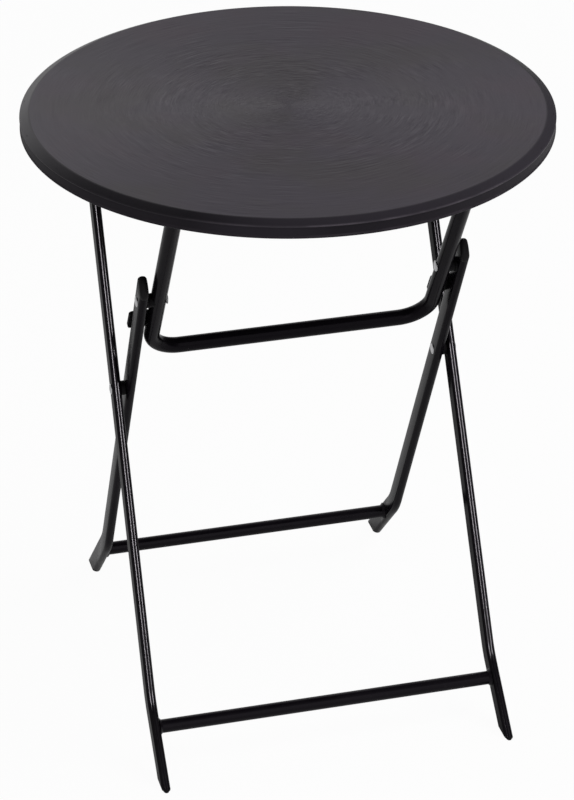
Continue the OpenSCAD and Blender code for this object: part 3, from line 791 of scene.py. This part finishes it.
def brace_washers():
    """Black saddle washers between the brace tube and the inner legs."""
    end = right_reach("brace_rivets_inner")[1]
    tube_middle = sum(right_reach("u_bar_end_plugs")) / 2
    depth = end - tube_middle - SADDLE_DEPTH
    section = rounded([(0, 0, 0), (WASHER_FACE_R, 0, WASHER_EDGE_R), (WASHER_TUBE_R, depth, 0)])
    s = Shape()
    for side in (1, -1):
        s.add(*lathe(section, 48), along_x(side, end + WASHER_PLAY, BRACE_Y, BRACE_Z, -1))
    ob = s.piece("brace_pivot_washers", [PLASTIC_DULL])
    face_outwards(ob)
    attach(ob, "brace")


brace_washers()


# Caps of the inner legs
def leg_frame(side):
    """Puts a point from an inner leg's own frame in mm: origin at the scissor pivot, z up the leg."""
    c, s = math.cos(LEAN), math.sin(LEAN)
    middle = sum(right_reach("inner_leg_right")) / 2

    def put(v):
        y, z = SCISSOR_Y + v.y * c - v.z * s, SCISSOR_Z + v.y * s + v.z * c
        return mm((side * (middle + v.x), y, z))
    return put


def flat_oval(inset):
    """Outline of the cap drawn in by an inset, long way along y, as (x, y) pairs."""
    r, half_flat, round_steps, flat_steps = TUBE_HALF_T - inset, TUBE_HALF_W - TUBE_HALF_T, 12, 7
    out = []
    for way in (1, -1):
        for k in range(round_steps + 1):
            a = math.pi * k / round_steps
            out.append((way * r * math.cos(a), way * (half_flat + r * math.sin(a))))
        for k in range(1, flat_steps):
            out.append((-way * r, way * half_flat * (1 - 2 * k / flat_steps)))
    return out


def cap_top(y):
    """Side outline of the cap: a rounded back, a crown, and a slope that steepens to the front."""
    back_y = TUBE_HALF_W - CAP_BACK_R
    if y > back_y:
        return CAP_BACK_Z + math.sqrt(max(0.0, CAP_BACK_R ** 2 - (y - back_y) ** 2))
    t = min(1.0, (y + TUBE_HALF_W) / (TUBE_HALF_W + back_y))
    climb = CAP_BACK_Z + CAP_BACK_R - CAP_FRONT_Z
    return CAP_FRONT_Z + climb * (1 - (1 - t) ** CAP_SLOPE_POWER)


def leg_cap(side, name):
    """A cap that closes the upper end of an inner leg, crowned over its whole outline."""
    node = "inner_top_cap_" + name
    base = REACH + CAP_START
    steps = 10
    rows = []
    for inset, height in CAP_FOOT_ROWS:
        rows.append([(x, y, base + height) for x, y in flat_oval(inset)])
    for k in range(steps + 1):
        a = math.pi / 2 * k / steps
        drop = CAP_CROWN * (1 - math.sin(a))
        rows.append([(x, y, base + max(CAP_LEAST, cap_top(y) - drop))
                     for x, y in flat_oval(TUBE_HALF_T * (1 - math.cos(a)))])
    verts, faces = bridge(rows)
    faces.append(tuple(range(len(rows[0]))))
    s = Shape()
    s.add(verts, faces, leg_frame(side))
    ob = s.piece("leg_cap_" + name, [PLASTIC])
    face_outwards(ob, merge=0.00002)
    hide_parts(node)
    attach(ob, "inner_frame")


leg_cap(-1, "left")
leg_cap(1, "right")


# Weld beads
def weld_bead(name, body, crossbar):
    """A rippled fillet of weld round each end of a crossbar, against the leg."""
    lo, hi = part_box(crossbar)
    y, z = (lo.y + hi.y) * 500, (lo.z + hi.z) * 500
    turns, steps = 120, 10
    verts, faces = [], []
    for i in range(turns):
        a = 2 * math.pi * i / turns
        ripple = RIPPLE_H * math.cos(a * RIPPLE_COUNT + 0.7 * math.sin(a * 3))
        ripple += WAVE_H * math.sin(a * WAVE_COUNT + 1.0)
        for j in range(steps + 1):
            t = j / steps
            bulge = ripple * math.sin(math.pi * t)
            # a hollow fillet from the face of the leg to the bar
            w = math.pi / 2 * t
            r = CROSSBAR_R + WELD_W - WELD_HOLLOW * math.sin(w) + bulge
            height = WELD_H - WELD_W * math.cos(w) + WELD_PLAY + RIPPLE_ALONG_SHARE * bulge
            verts.append((r * math.cos(a), r * math.sin(a), height))
    m = steps + 1
    for i in range(turns):
        after = (i + 1) % turns
        for j in range(steps):
            faces.append((i * m + j, after * m + j, after * m + j + 1, i * m + j + 1))
    s = Shape()
    for side, x in ((1, hi.x * 1000), (-1, -lo.x * 1000)):
        s.add(verts, faces, along_x(side, x, y, z, -1))
    ob = s.piece(name, [TUBE])
    face_outwards(ob)
    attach(ob, body)


weld_bead("outer_weld_beads", "outer_frame", "outer_crossbar")
weld_bead("inner_weld_beads", "inner_frame", "inner_crossbar")


# Floor, world and lamps
def floor():
    """Pale floor. The camera sees it almost white, with the shadow left in."""
    radius, corners = 14.0, 48
    n = Material("floor_paint")
    paint = n.new("ShaderNodeBsdfDiffuse")
    speckle = n.noise(n.coord, 3, 2)
    n.set(paint, "Color", n.ramp(speckle, [(0.3, (0.69, 0.69, 0.69)), (0.7, (0.71, 0.71, 0.71))]))
    glow = n.new("ShaderNodeEmission")
    n.set(glow, "Strength", 1.0)
    path = n.new("ShaderNodeLightPath").outputs
    seen = n.math("MULTIPLY", path["Is Camera Ray"], FLOOR_SEEN)
    mirrored = n.math("ADD", path["Is Glossy Ray"], path["Is Transmission Ray"])
    mirrored = n.math("MULTIPLY", mirrored, FLOOR_MIRRORED)
    mix = n.new("ShaderNodeMixShader")
    n.set(mix, 0, n.math("ADD", seen, mirrored, clamp=True))
    n.set(mix, 1, paint.outputs[0])
    n.set(mix, 2, glow.outputs[0])
    n.nt.nodes.remove(n.bsdf)
    n.set(n.nt.nodes["Material Output"], "Surface", mix.outputs[0])
    angles = [2 * math.pi * i / corners for i in range(corners)]
    verts = [(radius * math.cos(a), radius * math.sin(a), 0) for a in angles]
    ob = make("floor", verts, [tuple(range(corners))], [n.mat])


def studio():
    """White all round for the camera. Reflections see a pale room that darkens with height."""
    world = bpy.data.worlds.new("studio")
    scene.world = world
    world.use_nodes = True
    n = Tree(world.node_tree)
    background = n.nt.nodes["Background"]
    background.inputs["Color"].default_value = (1, 1, 1, 1)
    path = n.new("ShaderNodeLightPath").outputs
    x, _, z = n.xyz(n.new("ShaderNodeTexCoord").outputs["Generated"])
    camera = path["Is Camera Ray"]
    mirror = n.math("ADD", path["Is Glossy Ray"], path["Is Transmission Ray"])
    rest = n.math("SUBTRACT", n.math("SUBTRACT", 1.0, camera), mirror)
    rest = n.math("MAXIMUM", rest, 0.0)
    # up to 28 degrees the wall darkens to both sides, and above that it is light right of the middle
    high = n.remap(z, (0.47, 0.6), (0.0, 1.0), smooth=True)
    low_part = n.math("MULTIPLY", n.remap(x, (-0.1, 0.7), (1.05, 0.4)), n.math("SUBTRACT", 1.0, high))
    low_part = n.math("MULTIPLY", low_part, n.remap(x, (-0.7, -0.3), (0.3, 1.0)))
    high_part = n.math("MULTIPLY", n.remap(x, (-0.3, 0.3), (0.05, 1.2)), high)
    ceiling = n.remap(z, (0.48, 0.96), (1.03, 0.12), smooth=True)
    room = n.math("MULTIPLY", ceiling, n.math("ADD", low_part, high_part))
    room = n.math("MULTIPLY", room, n.remap(x, (0.25, 0.52), (1.06, 0.2)))
    soft = n.math("MULTIPLY", rest, ROOM_SOFT)
    total = n.math("ADD", camera, n.math("ADD", n.math("MULTIPLY", mirror, room), soft))
    n.set(background, "Strength", total)


def softbox(name, azimuth, elevation, distance, width, height, level):
    """A rectangular lamp that faces the table. Azimuth 0 is in front and 90 to the right, in degrees."""
    a, e = math.radians(azimuth), math.radians(elevation)
    way = Vector((math.sin(a) * math.cos(e), -math.cos(a) * math.cos(e), math.sin(e)))
    data = bpy.data.lights.new(name, "AREA")
    data.shape = "RECTANGLE"
    data.size = width
    data.size_y = height
    data.energy = level * width * height * math.pi
    ob = bpy.data.objects.new(name, data)
    scene.collection.objects.link(ob)
    ob.location = Vector(LAMP_AIM) + way * distance
    ob.rotation_mode = "QUATERNION"
    ob.rotation_quaternion = (-way).to_track_quat("-Z", "Y")
    return ob


def lamps():
    """Two strips that draw a bright line down each outer leg, and a soft key lamp for the shadow."""
    lit = bpy.data.collections.new("lit_by_strips")
    for side in ("left", "right"):
        lit.objects.link(NODES["outer_leg_" + side])
    for name, azimuth in STRIPS.items():
        strip = softbox(name, azimuth, elevation=21, distance=3.2, width=0.5, height=1.3, level=75.0)
        strip.visible_diffuse = False
        strip.light_linking.receiver_collection = lit
    key = softbox("key", 68, elevation=48, distance=3.4, width=2.0, height=2.0, level=5.2)
    key.visible_glossy = False


floor()
studio()
lamps()
